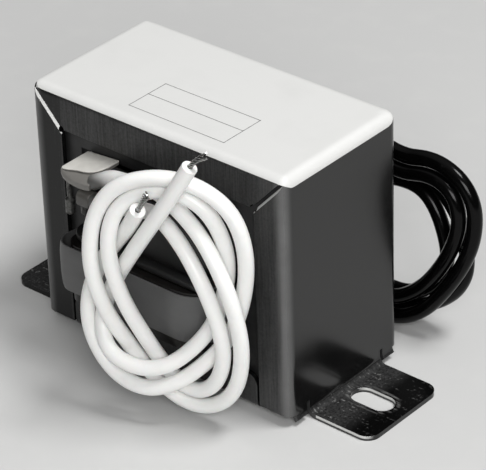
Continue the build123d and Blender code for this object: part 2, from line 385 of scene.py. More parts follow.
        # Painted shade darkens the lips at the left, and painted light brightens those at the right
        left = add_node(tree, "MapRange", here.x, *metres(self.left_lip_reach), *self.left_lip_painted_shade)
        right = add_node(tree, "MapRange", here.x, *metres(self.right_lip_reach), *self.right_lip_painted_light)
        for shade in (-self.line_level, left, right):
            line = add_node(tree, "Math", line, shade, operation="ADD")
        share = add_node(tree, "MapRange", here.front, *self.line_facing, *self.line_share)
        line = add_node(tree, "Math", line, share, self.line_middle, operation="MULTIPLY_ADD")
        line = add_node(tree, "Math", line, self.line_least, operation="MAXIMUM")
        return add_node(
            tree, "Mix", line, linear(self.colour), linear(self.line_colour),
            data_type="RGBA", clamp_factor=False)

    def foot_skin(self, tree: Tree, here: SheetPoint) -> Node:
        """Links the gritty varnish of a foot, lighter with wear near its bend and front, painted lighter all
        over the left foot as painted light, and dark at its outer rear.

        Args:
            tree: Node tree of the material.
            here: Point of the sheet.

        Returns:
            Colour of the foot.
        """
        by_bend, by_front, inside = (
            add_node(tree, "MapRange", reach, *metres(span), interpolation_type="SMOOTHSTEP")
            for reach, span in (
                (here.out, self.wear_by_bend), (here.y, self.wear_by_front), (here.out, self.wear_inside)))
        by_front = add_node(tree, "Math", by_front, inside, operation="MULTIPLY")
        # The left foot is painted lighter all over: painted light
        left = add_node(tree, "MapRange", here.x, *metres(self.left_foot), *self.left_foot_painted_light)
        wear_and_light = by_bend
        for extra in (by_front, left):
            wear_and_light = add_node(tree, "Math", wear_and_light, extra, operation="MAXIMUM")
        grain = add_node(tree, "MapRange", here.specks, *self.noise_band, *self.grit)
        share = add_node(tree, "Math", wear_and_light, grain, operation="MULTIPLY")
        skin = add_node(
            tree, "Mix", share, linear(self.foot_colour), linear(self.wear_and_light_colour),
            data_type="RGBA", clamp_factor=False)
        drawn = add_node(tree, "Mapping", inputs={
            "Vector": here.place, "Rotation": (0, 0, self.scratch_turn),
            "Scale": (scale_for(self.scratch_length), scale_for(self.scratch_width), 1.0)})
        scratch = add_node(tree, "TexNoise", inputs={"Vector": drawn, "Scale": 1.0, "Detail": 5.0})
        ring = self.slot_wear(tree, here)
        # A few marks reach the dark outer end too
        wear_and_light = add_node(tree, "Math", wear_and_light, ring, operation="MAXIMUM")
        spread = add_node(tree, "MapRange", wear_and_light, 0.0, 1.0, *self.mark_spread)
        marks = add_node(tree, "Math", here.specks, scratch, operation="MULTIPLY")
        marks = add_node(tree, "MapRange", marks, *self.mark_band, *self.mark_share)
        marks = add_node(tree, "Math", marks, spread, operation="MULTIPLY")
        rubbed = add_node(tree, "MapRange", scratch, *self.ring_band, *self.ring_share)
        rubbed = add_node(tree, "Math", rubbed, ring, operation="MULTIPLY")
        marks = add_node(tree, "Math", marks, rubbed, operation="MAXIMUM")
        return add_node(tree, "Mix", marks, skin, linear(self.bare), data_type="RGBA")

    def slot_wear(self, tree: Tree, here: SheetPoint) -> Node:
        """Links a narrow ring round each slot, where a screw head rubbed.

        Args:
            tree: Node tree of the material.
            here: Point of the sheet.

        Returns:
            Share of rubbed varnish.
        """
        along = here.out
        for operation, *amount in (
            ("SUBTRACT", self.slot_place * MM), ("ABSOLUTE",),
            ("SUBTRACT", self.slot_straight * MM), ("MAXIMUM", 0.0),
        ):
            along = add_node(tree, "Math", along, *amount, operation=operation)
        flat = add_node(tree, "CombineXYZ", along, here.y)
        away = add_node(tree, "VectorMath", flat, operation="LENGTH")
        beyond = add_node(tree, "Math", away, (self.slot_radius + self.ring_gap) * MM, operation="SUBTRACT")
        beyond = add_node(tree, "Math", beyond, operation="ABSOLUTE")
        return add_node(tree, "MapRange", beyond, *metres(self.ring_fade))

    def cut_edges(self, tree: Tree, here: SheetPoint) -> Node:
        """Links the bright steel of the right foot's front and rear edges and of the mitres.

        Args:
            tree: Node tree of the material.
            here: Point of the sheet.

        Returns:
            Share of bare metal.
        """
        rim = add_node(tree, "MapRange", here.front, *self.sheared_facing)
        wall = add_node(tree, "Math", here.level, self.wall_level, operation="LESS_THAN")
        # The left foot's cut edge is left dark: painted shade
        lit_side = add_node(tree, "Math", here.x, self.lit_from * MM, operation="GREATER_THAN")
        # Only the upper part of a cut is bright; the lower part is left dark, painted shade where the edge
        # meets the floor
        lit_upper = add_node(tree, "MapRange", here.z, *metres(self.lit_height))
        for share in (wall, lit_side, here.low, lit_upper):
            rim = add_node(tree, "Math", rim, share, operation="MULTIPLY")
        mitre = add_node(tree, "Math", here.z, self.mitre_from * MM, operation="GREATER_THAN")
        for facing, slope in ((here.level, self.mitre_level), (here.front, self.mitre_front)):
            near = add_node(tree, "Math", facing, *slope, operation="COMPARE")
            mitre = add_node(tree, "Math", mitre, near, operation="MULTIPLY")
        return add_node(tree, "Math", rim, mitre, operation="MAXIMUM")


@dataclass(frozen=True)
class Laminations(Finish):
    """Stack of varnished silicon-steel sheets.

    Near-black, with the parallel lines of the sheet edges. Half-millimetre sheets are too
    fine to show, so one line stands for about six.
    """

    line_colour: str = "#4c4c4d"
    line_pitch: float = 3.1416
    line_depth: float = 0.05
    grime: float = 2.5
    # Blender's wave texture runs through this angle over one unit
    wave_angle: float = 20.0

    def detail(self, tree: Tree, coords: Node) -> Feeds:
        """Links the sheet edges as lines across the stack.

        Args:
            tree: Node tree of the material.
            coords: Where a point lies on the part.

        Returns:
            What feeds the surface shader.
        """
        place = coords.outputs["Object"]
        edges = add_node(tree, "TexWave", inputs={
            "Vector": place, "Scale": scale_for(self.line_pitch) * math.tau / self.wave_angle,
            "Distortion": 0.4, "Detail Scale": 3.0}, bands_direction="Y").outputs["Fac"]
        grime = add_node(tree, "TexNoise", inputs={
            "Vector": place, "Scale": scale_for(self.grime), "Detail": 5.0})
        tone = add_node(tree, "Math", edges, grime, operation="MULTIPLY")
        skin = add_node(tree, "Mix", tone, linear(self.colour), linear(self.line_colour), data_type="RGBA")
        bump = add_node(tree, "Bump", inputs={
            "Strength": 0.5, "Distance": self.line_depth * MM, "Height": edges})
        return {"Base Color": skin, "Normal": bump}


@dataclass(frozen=True)
class MouldedNylon(Finish):
    """Natural nylon, injection moulded, its lower part soaked in varnish.

    Milky off-white that light enters a little, with soft edges and faint flow marks.
    All but the hood's top plate is painted darker as painted shade, and lower down it is
    near-black below the line that the varnish reached, partly varnish and partly painted
    shade.
    """

    # Soaked and stained colours: partly varnish, partly painted shade low in the window
    soaked: str = "#1b1b1b"
    stain_and_shade: str = "#4b4946"
    # Painted shade on all but the hood's top plate
    upright: str = "#716f6b"
    flow_colour: str = "#b6b4ae"
    soak_and_shade_line: Span = (28.0, 30.5)
    stain_and_shade_line: Span = (31.5, 32.5)
    line_drift: float = 1.2
    hood_end: float = -7.98
    plate_slope: float = 0.0873
    plate_height: Span = (34.82, 34.94)
    flow: float = 3.0
    grain: float = 0.4
    grain_share: float = 0.4
    edge_radius: float = 0.2
    relief: float = 0.08
    glow_depth: float = 0.5

    def detail(self, tree: Tree, coords: Node) -> Feeds:
        """Links milky depth, flow marks, painted shade below the top plate, the varnish line with its
        painted shade, and rounded edges.

        Args:
            tree: Node tree of the material.
            coords: Where a point lies on the part.

        Returns:
            What feeds the surface shader.
        """
        place = coords.outputs["Object"]
        spot = add_node(tree, "SeparateXYZ", place).outputs
        marks = add_node(tree, "TexNoise", inputs={
            "Vector": place, "Scale": scale_for(self.flow), "Detail": 4.0, "Distortion": 0.8})
        grain = add_node(tree, "TexNoise", inputs={"Vector": place, "Scale": scale_for(self.grain)})
        # Painted shade: all but the hood's sloped top plate is painted darker
        height = add_node(tree, "Math", spot["X"], -self.plate_slope, spot["Z"], operation="MULTIPLY_ADD")
        clear = add_node(tree, "MapRange", height, *metres(self.plate_height))
        # The varnish line wanders by a millimetre or so, and past the hood all is dark: partly varnish,
        # partly painted shade
        line = add_node(tree, "Math", marks, self.line_drift * MM, spot["Z"], operation="MULTIPLY_ADD")
        above_stain_and_shade, above_soak_and_shade = (
            add_node(tree, "MapRange", line, *metres(span)) for span in (self.stain_and_shade_line, self.soak_and_shade_line))
        hooded = add_node(tree, "Math", spot["X"], self.hood_end * MM, operation="LESS_THAN")
        above_soak_and_shade = add_node(tree, "Math", above_soak_and_shade, hooded, operation="MULTIPLY")
        skin = add_node(tree, "Mix", marks, linear(self.colour), linear(self.flow_colour), data_type="RGBA")
        for spared, colour in ((clear, self.upright), (above_stain_and_shade, self.stain_and_shade), (above_soak_and_shade, self.soaked)):
            skin = add_node(tree, "Mix", spared, linear(colour), skin, data_type="RGBA")
        soft = add_node(tree, "Bevel", self.edge_radius * MM, samples=6)
        relief = add_node(tree, "Math", grain, self.grain_share, marks, operation="MULTIPLY_ADD")
        bump = add_node(tree, "Bump", inputs={
            "Strength": 0.2, "Distance": self.relief * MM, "Height": relief, "Normal": soft})
        return {
            "Base Color": skin, "Normal": bump, "Subsurface Weight": 0.15,
            "Subsurface Radius": (1.0, 0.95, 0.85), "Subsurface Scale": self.glow_depth * MM}


@dataclass(frozen=True)
class CoilTape(Finish):
    """Film tape wound tight over a coil, or card pushed in beside it.

    Smooth and slightly shiny, creased a little, with a bloom where varnish soaked in.
    """

    soak: str = "#2a2a2b"
    soak_band: Span = (0.45, 0.75)
    soak_share: Span = (0.0, 0.6)
    patch: float = 4.0
    crease: float = 1.6
    crease_stretch: float = 5.0
    crease_depth: float = 0.12

    def detail(self, tree: Tree, coords: Node) -> Feeds:
        """Links creases along the tape and soaked patches.

        Args:
            tree: Node tree of the material.
            coords: Where a point lies on the part.

        Returns:
            What feeds the surface shader.
        """
        place = coords.outputs["Object"]
        fine = scale_for(self.crease)
        coarse = fine / self.crease_stretch
        drawn = add_node(tree, "Mapping", inputs={"Vector": place, "Scale": (coarse, coarse, fine)})
        folds = add_node(tree, "TexNoise", inputs={"Vector": drawn, "Scale": 1.0, "Detail": 4.0})
        patch = add_node(tree, "TexNoise", inputs={
            "Vector": place, "Scale": scale_for(self.patch), "Detail": 5.0})
        soaked = add_node(tree, "MapRange", patch, *self.soak_band, *self.soak_share)
        skin = add_node(tree, "Mix", soaked, linear(self.colour), linear(self.soak), data_type="RGBA")
        bump = add_node(tree, "Bump", inputs={
            "Strength": 0.35, "Distance": self.crease_depth * MM, "Height": folds})
        return {"Base Color": skin, "Normal": bump}


@dataclass(frozen=True)
class MattSheet(Finish):
    """Matt pale sheet, such as polyester label stock or paper.

    Even, with a very fine tooth and a trace of grime.
    """

    tooth: float = 0.25
    tooth_depth: float = 0.02
    grime: float = 6.0
    grime_colour: str = "#d2d2d0"
    grime_band: Span = (0.5, 0.8)
    grime_share: Span = (0.0, 0.35)

    def detail(self, tree: Tree, coords: Node) -> Feeds:
        """Links the tooth of the sheet and a trace of grime.

        Args:
            tree: Node tree of the material.
            coords: Where a point lies on the part.

        Returns:
            What feeds the surface shader.
        """
        place = coords.outputs["Object"]
        tooth = add_node(tree, "TexNoise", inputs={
            "Vector": place, "Scale": scale_for(self.tooth), "Detail": 3.0})
        grime = add_node(tree, "TexNoise", inputs={
            "Vector": place, "Scale": scale_for(self.grime), "Detail": 6.0})
        stain = add_node(tree, "MapRange", grime, *self.grime_band, *self.grime_share)
        skin = add_node(tree, "Mix", stain, linear(self.colour), linear(self.grime_colour), data_type="RGBA")
        bump = add_node(tree, "Bump", inputs={
            "Strength": 0.12, "Distance": self.tooth_depth * MM, "Height": tooth})
        return {"Base Color": skin, "Normal": bump}


@dataclass(frozen=True)
class Vinyl(Finish):
    """Extruded vinyl wire insulation.

    Waxy and smooth, with faint die lines along the wire and a little handling grime,
    and, where its share is set, painted shade at the root of the lead under the guide.
    """

    grime: str = "#8c8c8a"
    grime_share: float = 0.3
    grime_band: Span = (0.52, 0.82)
    mark: float = 1.8
    gloss_band: Span = (0.3, 0.7)
    gloss_drift: Span = (-0.04, 0.08)
    die_line_length: float = 14.0
    die_lines: float = 22.0
    die_line_depth: float = 0.04
    glow: float = 0.0
    glow_depth: float = 0.5
    # Painted shade at the root of the lead, under the guide
    # Colour of the painted shade at the root of the lead
    stain: str = "#3a3936"
    root_shade_share: float = 0.0
    root_shade_x: Span = (-2.6, -6.4)
    root_shade_z: Span = (35.9, 33.8)
    root_shade_fade: Span = (0.2, 1.0)
    root_shade_above: float = 28.5
    root_shade_behind: float = -20.5

    def detail(self, tree: Tree, coords: Node) -> Feeds:
        """Links die lines along the wire, handling marks and painted shade at the root.

        Args:
            tree: Node tree of the material.
            coords: Where a point lies on the part.

        Returns:
            What feeds the surface shader.
        """
        place = coords.outputs["Object"]
        around = add_node(tree, "Mapping", inputs={
            "Vector": coords.outputs["UV"], "Scale": (scale_for(self.die_line_length), self.die_lines, 1.0)})
        lines = add_node(tree, "TexNoise", inputs={"Vector": around, "Scale": 1.0, "Detail": 3.0})
        handled = add_node(tree, "TexNoise", inputs={
            "Vector": place, "Scale": scale_for(self.mark), "Detail": 6.0, "Roughness": 0.65})
        dirt = add_node(tree, "MapRange", handled, *self.grime_band, 0.0, self.grime_share)
        skin = add_node(tree, "Mix", dirt, linear(self.colour), linear(self.grime), data_type="RGBA")
        # Painted shade darkens the first few millimetres of the lead, most under the guide
        spot = add_node(tree, "SeparateXYZ", place).outputs
        root = add_node(tree, "MapRange", spot["X"], *metres(self.root_shade_x), interpolation_type="SMOOTHSTEP")
        under = add_node(
            tree, "MapRange", spot["Z"], *metres(self.root_shade_z), *self.root_shade_fade,
            interpolation_type="SMOOTHSTEP")
        upper = add_node(tree, "Math", spot["Z"], self.root_shade_above * MM, operation="GREATER_THAN")
        close = add_node(tree, "Math", spot["Y"], self.root_shade_behind * MM, operation="GREATER_THAN")
        for share in (under, upper, close, self.root_shade_share):
            root = add_node(tree, "Math", root, share, operation="MULTIPLY")
        skin = add_node(tree, "Mix", root, skin, linear(self.stain), data_type="RGBA")
        shiny, dull = (self.roughness + drift for drift in self.gloss_drift)
        gloss = add_node(tree, "MapRange", handled, *self.gloss_band, shiny, dull)
        bump = add_node(tree, "Bump", inputs={
            "Strength": 0.18, "Distance": self.die_line_depth * MM, "Height": lines})
        return {
            "Base Color": skin, "Roughness": gloss, "Normal": bump,
            "Subsurface Weight": self.glow, "Subsurface Scale": self.glow_depth * MM}


@dataclass(frozen=True)
class Bloomed(Finish):
    """Tinned copper, solder, magnet wire or ink.

    Clouded by a bloom in patches, with a dimpled surface.
    """

    bloom: str = "#6d6d6c"
    bloom_band: Span = (0.4, 0.65)
    patch: float = 0.5
    dimple: float = 0.06

    def detail(self, tree: Tree, coords: Node) -> Feeds:
        """Links the bloom and a dimpled surface.

        Args:
            tree: Node tree of the material.
            coords: Where a point lies on the part.

        Returns:
            What feeds the surface shader.
        """
        cloud = add_node(tree, "TexNoise", inputs={
            "Vector": coords.outputs["Object"], "Scale": scale_for(self.patch), "Detail": 4.0})
        dull = add_node(tree, "MapRange", cloud, *self.bloom_band)
        skin = add_node(tree, "Mix", dull, linear(self.colour), linear(self.bloom), data_type="RGBA")
        bump = add_node(tree, "Bump", inputs={
            "Strength": 0.3, "Distance": self.dimple * MM, "Height": cloud})
        return {"Base Color": skin, "Normal": bump}


FRAME_STEEL = VarnishedSteel("varnished_cold_rolled_steel", "#373737", 0.2, metallic=0.95)
CORE_STEEL = Laminations("varnished_silicon_steel_stack", "#161616", 0.42, metallic=0.3)
NYLON = MouldedNylon("moulded_natural_nylon", "#e2e0da", 0.38, ior=1.53)
GREY_TAPE = CoilTape("grey_polyester_coil_tape", "#4f4f4f", 0.45, ior=1.57, soak="#444444")
DARK_TAPE = CoilTape("varnish_soaked_coil_tape", "#070707", 0.5, ior=1.57, soak="#0e0e0e")
# Dark card that stands in for shade in the windows beside the coils
SHADE_CARD = CoilTape("dark_card_painted_shade", "#121211", 0.55, ior=1.5, soak="#1c1b19")
FILM = MattSheet("matt_polyester_label_film", "#dcdcda", 0.5, ior=1.57)
PRINT = Bloomed("printed_grey_line", "#6e6e6d", 0.6, bloom="#8a8a89")
WHITE_VINYL = Vinyl(
    "extruded_white_vinyl", "#f3f3f1", 0.34, ior=1.53, grime="#d0d0cd", grime_share=0.2, glow=0.05,
    root_shade_share=0.95)
BLACK_VINYL = Vinyl("extruded_black_vinyl", "#040404", 0.14, ior=1.24, grime="#0c0c0c", grime_share=0.4)
TINNED = Bloomed("tinned_copper_strand", "#a9a9a7", 0.24, metallic=1.0)
SOLDER = Bloomed("varnished_solder", "#5c5c5a", 0.35, metallic=0.6, bloom="#262625", patch=0.7)
WIRE = Bloomed("varnish_soaked_magnet_wire", "#191716", 0.35, metallic=0.4, bloom="#0f0e0d")


def new_mesh(
    name: str, points: list[Vector], faces: Faces, material: bpy.types.Material
) -> bpy.types.Object:
    """Makes a smooth-shaded mesh piece that rides on the part.

    Args:
        name: Name of the piece.
        points: Its corners in metres.
        faces: Corner numbers of each face.
        material: Its finish.

    Returns:
        The linked object.
    """
    mesh = bpy.data.meshes.new(name)
    mesh.from_pydata([tuple(point) for point in points], [], faces)
    shape = bmesh.new()
    shape.from_mesh(mesh)
    bmesh.ops.recalc_face_normals(shape, faces=shape.faces)
    shape.to_mesh(mesh)
    shape.free()
    mesh.shade_smooth()
    mesh.set_sharp_from_angle(angle=SHARP_TURN)
    mesh.materials.append(material)
    piece = bpy.data.objects.new(name, mesh)
    bpy.context.scene.collection.objects.link(piece)
    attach(piece, BODY)
    return piece


def dress(node: str, material: bpy.types.Material) -> None:
    """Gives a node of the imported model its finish.

    Args:
        node: Name of the node.
        material: Finish of the whole node.
    """
    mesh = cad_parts[node].data
    mesh.materials.clear()
    mesh.materials.append(material)
    LOG.info("%s: %s", node, material.name)


def spline_points(route: list[Spot], steps: int) -> list[Vector]:
    """Reads the points of the smooth line that has a route as its control points.

    Args:
        route: Control points in millimetres.
        steps: Points per control point.

    Returns:
        Points along the line in metres.
    """
    curve = bpy.data.curves.new("route", "CURVE")
    curve.dimensions = "3D"
    curve.resolution_u = steps
    spline = curve.splines.new("NURBS")
    spline.points.add(len(route) - 1)
    for point, spot in zip(spline.points, route):
        point.co = (*(MM * value for value in spot), 1.0)
    spline.order_u = 3
    spline.use_endpoint_u = True
    holder = bpy.data.objects.new("route", curve)
    mesh = bpy.data.meshes.new_from_object(holder)
    points = [vertex.co.copy() for vertex in mesh.vertices]
    bpy.data.objects.remove(holder)
    bpy.data.curves.remove(curve)
    bpy.data.meshes.remove(mesh)
    return points


def line_length(points: list[Vector]) -> float:
    """Adds up the steps between points."""
    return sum((after - before).length for before, after in zip(points, points[1:]))


def frames_along(points: list[Vector]) -> list[Axes]:
    """Carries a pair of cross directions along a line without twisting them.

    Args:
        points: Points of the line.

    Returns:
        Tangent and two cross directions at each point.
    """
    tangents = []
    for number in range(len(points)):
        before = points[max(number - 1, 0)]
        after = points[min(number + 1, len(points) - 1)]
        tangents.append((after - before).normalized())
    side = tangents[0].orthogonal().normalized()
    frames = []
    for tangent in tangents:
        side = (side - tangent * side.dot(tangent)).normalized()
        frames.append((tangent, side, tangent.cross(side)))
    return frames


def rounded_outline(
    left: float, right: float, front: float, back: float, radii: Corners, steps: int, side_steps: int = 1
) -> list[Vector]:
    """Walks round a rectangle with round corners.

    Args:
        left: Its lowest place along.
        right: Its highest place along.
        front: Its lowest place across.
        back: Its highest place across.
        radii: Radius at the right rear, left rear, left front and right front.
        steps: Steps in each corner.
        side_steps: Steps along each side.

    Returns:
        Points, the same number for each size.
    """
    arcs: list[list[Vector]] = []
    ends = ((right, back), (left, back), (left, front), (right, front))
    ways = ((-1, -1), (1, -1), (1, 1), (-1, 1))
    for number, ((x, y), (in_x, in_y), radius) in enumerate(zip(ends, ways, radii)):
        angles = [math.pi / 2 * (number + step / steps) for step in range(steps + 1)]
        arcs.append([
            Vector((x + radius * (in_x + math.cos(angle)), y + radius * (in_y + math.sin(angle)), 0))
            for angle in angles])
    walk: list[Vector] = []
    for arc, after in zip(arcs, arcs[1:] + arcs[:1]):
        walk += arc
        walk += [arc[-1].lerp(after[0], step / side_steps) for step in range(1, side_steps)]
    return walk


def bridge(rings: int, count: int, ends: Ends) -> Faces:
    """Joins rings of corners with faces.

    Args:
        rings: Number of rings.
        count: Corners in each ring.
        ends: Whether the outer rings stay open, get a cap each or join each other.

    Returns:
        Corner numbers of each face.
    """
    faces: Faces = []
    for ring in range(rings if ends is Ends.JOINED else rings - 1):
        here, above = ring * count, (ring + 1) % rings * count
        for step in range(count):
            after = (step + 1) % count
            faces.append((here + step, here + after, above + after, above + step))
    if ends is Ends.CAPPED:
        last = (rings - 1) * count
        faces += [tuple(range(count)), tuple(range(last, last + count))]
    return faces


def soft_slab(near: float, far: float, edge: float, outline: Callable[[float], list[Vector]]) -> Shell:
    """Draws an outline out into a slab with soft edges.

    Args:
        near: Where the slab starts.
        far: Where it ends.
        edge: How far the outline is drawn in at both ends.
        outline: Gives the outline, drawn in by so much.

    Returns:
        Corners, with the place along the slab first, and faces.
    """
    rings = ((near, edge), (near + edge, 0.0), (far - edge, 0.0), (far, edge))
    spots = [Vector((along, spot.x, spot.y)) for along, inset in rings for spot in outline(inset)]
    return spots, bridge(len(rings), len(spots) // len(rings), Ends.CAPPED)


@dataclass
class Lead:
    """One insulated lead, from the bobbin's guide to its stripped end."""

    colour: LeadColour
    number: int
    route: list[Spot]
    tip: list[Spot]
    finish: bpy.types.Material
    metal: bpy.types.Material
    radius: float = 1.2
    bore: float = 0.46
    bore_depth: float = 0.5
    rim: float = 0.12
    sides: int = 24
    strand_count: int = 7
    strand_radius: float = 0.125
    strand_pitch: float = 4.2
    strand_gap: float = 2.05
    strand_facets: int = 3
    straight: float = 0.8
    fray: float = 0.35
    fray_power: int = 3
    fray_steps: float = 6.0
    # Places in the noise that make each strand's fray differ
    fray_seed: Spot = (3.1, 1.7, 0.5)
    spread_seed: Spot = (0.0, 0.0, 4.3)
    route_steps: int = 7
    tip_steps: int = 10

    def build(self) -> None:
        points = spline_points(self.route, self.route_steps)
        strands = self.strands()
        piece = self.insulation(points)
        LOG.info("%s lead %d: %.0f mm", self.colour.value, self.number, line_length(points) / MM)

    def insulation(self, points: list[Vector]) -> bpy.types.Object:
        """Makes the insulation as a tube with a cut, hollow end.

        Args:
            points: Points along the lead.

        Returns:
            The tube.
        """
        frames = frames_along(points)
        rings = [(point, axes, self.radius) for point, axes in zip(points[:-1], frames)]
        # The cut end: a soft rim, then the bore that the strands come out of
        for back, radius in (
            (self.rim, self.radius), (0.0, self.radius - self.rim),
            (0.0, self.bore), (self.bore_depth, self.bore),
        ):
            rings.append((points[-1] - frames[-1][0] * back * MM, frames[-1], radius))
        corners: list[Vector] = []
        spans = []
        travel = 0.0
        for number, (middle, (_, side, other), radius) in enumerate(rings):
            if number:
                travel += (middle - rings[number - 1][0]).length
            spans.append(travel)
            for step in range(self.sides):
                angle = math.tau * step / self.sides
                corners.append(middle + (side * math.cos(angle) + other * math.sin(angle)) * radius * MM)
        name = f"{self.colour.value}_insulation"
        faces = bridge(len(rings), self.sides, Ends.CAPPED)
        piece = new_mesh(f"{name}_{self.number}", corners, faces, self.finish)
        self.unwrap(piece.data, spans)
        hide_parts(f"{self.colour.value}_lead_{self.number}")
        return piece

    def unwrap(self, mesh: bpy.types.Mesh, spans: list[float]) -> None:
        """Lays the tube out flat: length along, angle across.

        Args:
            mesh: The tube.
            spans: Distance of each ring along the lead.
        """
        layer = mesh.uv_layers.new(name="along")
        for face in mesh.polygons:
            steps = [mesh.loops[loop].vertex_index % self.sides for loop in face.loop_indices]
            wraps = self.sides - 1 in steps and 0 in steps
            for loop, step in zip(face.loop_indices, steps):
                ring = mesh.loops[loop].vertex_index // self.sides
                turn = self.sides if wraps and step == 0 else step
                layer.data[loop].uv = (spans[ring], turn / self.sides)

    def strands(self) -> bpy.types.Object:
        """Makes the twisted bare strands, a little frayed at the tip.

        Returns:
            One curve that holds all strands.
        """
        start = Vector(self.route[-1])
        before = Vector(self.route[-2])
        ahead = (start - before).normalized()
        route = [tuple(start - ahead * self.bore_depth), tuple(start + ahead * self.straight)]
        route += [tuple(start + Vector(step)) for step in self.tip]
        points = spline_points(route, self.tip_steps)
        frames = frames_along(points)
        total = line_length(points)
        name = f"{self.colour.value}_bare_strands_{self.number}"
        curve = bpy.data.curves.new(name, "CURVE")
        curve.dimensions = "3D"
        curve.bevel_depth = self.strand_radius * MM
        curve.bevel_resolution = self.strand_facets
        curve.use_fill_caps = True
        for strand in range(self.strand_count):
            self.add_strand(curve, strand, points, frames, total)
        curve.materials.append(self.metal)
        piece = bpy.data.objects.new(name, curve)
        bpy.context.scene.collection.objects.link(piece)
        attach(piece, BODY)
        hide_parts(f"{self.colour.value}_strands_{self.number}")
        return piece

    def add_strand(
        self, curve: bpy.types.Curve, strand: int, points: list[Vector], frames: list[Axes], total: float
    ) -> None:
        """Winds one strand round the middle one.

        Args:
            curve: Curve that gets the strand.
            strand: Number of the strand; the first is the middle one.
            points: Points along the bundle.
            frames: Directions at each point.
            total: Length of the bundle in metres.
        """
        seed = Vector((strand, self.number, len(self.route))) * Vector(self.fray_seed)
        keep = len(points) - int(self.fray_steps * abs(noise.noise(seed)))
        reach = 0.0 if strand == 0 else self.strand_gap * self.strand_radius
        spread = 1 + self.fray * noise.noise(seed + Vector(self.spread_seed))
        spline = curve.splines.new("POLY")
        spline.points.add(keep - 1)
        travel = 0.0
        for number in range(keep):
            if number:
                travel += (points[number] - points[number - 1]).length
            _, side, other = frames[number]
            angle = math.tau * (strand / (self.strand_count - 1) + travel / (self.strand_pitch * MM))
            share = (travel / total) ** self.fray_power
            out = reach * (1 + share * spread)
            spot = points[number] + (side * math.cos(angle) + other * math.sin(angle)) * out * MM
            spline.points[number].co = (*spot, 1.0)


@dataclass
class TapeBand:
    """Tape wound over one coil of the bobbin, a little barrelled."""

    node: str
    finish: bpy.types.Material
    slot: str
    left_corner: float
    right_corner: float
    thickness: float = 0.6
    barrel: float = 0.3
    barrel_power: int = 4
    ripple: float = 0.04
    ripple_scale: Spot = (0.25, 0.25, 0.9)
    lap: float = 0.12
    # Swell to the left: its size, how far out along and across it starts, and over how far it grows
    swell: float = 0.0
    swell_from: Span = (6.0, 13.3)
    swell_over: Span = (6.0, 1.5)
    rows: int = 18
    corner_steps: int = 10
    side_steps: int = 16

    def outward(self, number: int) -> Vector:
        """Gives the outward direction at a step round the band's plan.

        Args:
            number: Number of the step.

        Returns:
            Level direction of length one.
        """
        corner, step = divmod(number, self.corner_steps + self.side_steps)
        angle = math.pi / 2 * (corner + min(step / self.corner_steps, 1.0))
        return Vector((math.cos(angle), math.sin(angle), 0))

    def swollen(self, spot: Vector) -> Vector:
        """Moves a point to the left where the band swells past the window at its front and rear.

        Args:
            spot: Point of the plan in millimetres.

        Returns:
            Where the point goes.
        """
        shares = (
            min(max((reach - start) / over, 0.0), 1.0)
            for reach, start, over in zip((-spot.x, abs(spot.y)), self.swell_from, self.swell_over))
        return spot - Vector((self.swell * math.prod(shares), 0, 0))

    def build(self) -> None:
        """Makes the band in the place of its node."""
        low, high = (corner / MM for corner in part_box(self.node))
        left, right = self.left_corner, self.right_corner
        walk = rounded_outline(
            low.x, high.x, low.y, high.y, (right, left, left, right), self.corner_steps, self.side_steps)
        corners: list[Vector] = []
        for number, plan in enumerate(walk):
            spot, out = self.swollen(plan), self.outward(number)
            step_in = self.lap * (1 - number / len(walk))
            for row in range(self.rows + 1):
                share = row / self.rows
                rise = Vector((0, 0, low.z + (high.z - low.z) * share))
                wave = noise.noise((spot + rise) * Vector(self.ripple_scale))
                draw_in = self.barrel * (2 * share - 1) ** self.barrel_power
                depth = draw_in + step_in + self.ripple * (1 + wave)
                corners.append((spot - out * depth + rise) * MM)
            for height in (high.z, low.z):
                corners.append((spot - out * self.thickness + Vector((0, 0, height))) * MM)
        faces = bridge(len(walk), len(corners) // len(walk), Ends.JOINED)
        piece = new_mesh(f"{self.node}_tape", corners, faces, self.finish)
        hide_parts(self.node)
        LOG.info("%s: %d faces", piece.name, len(faces))


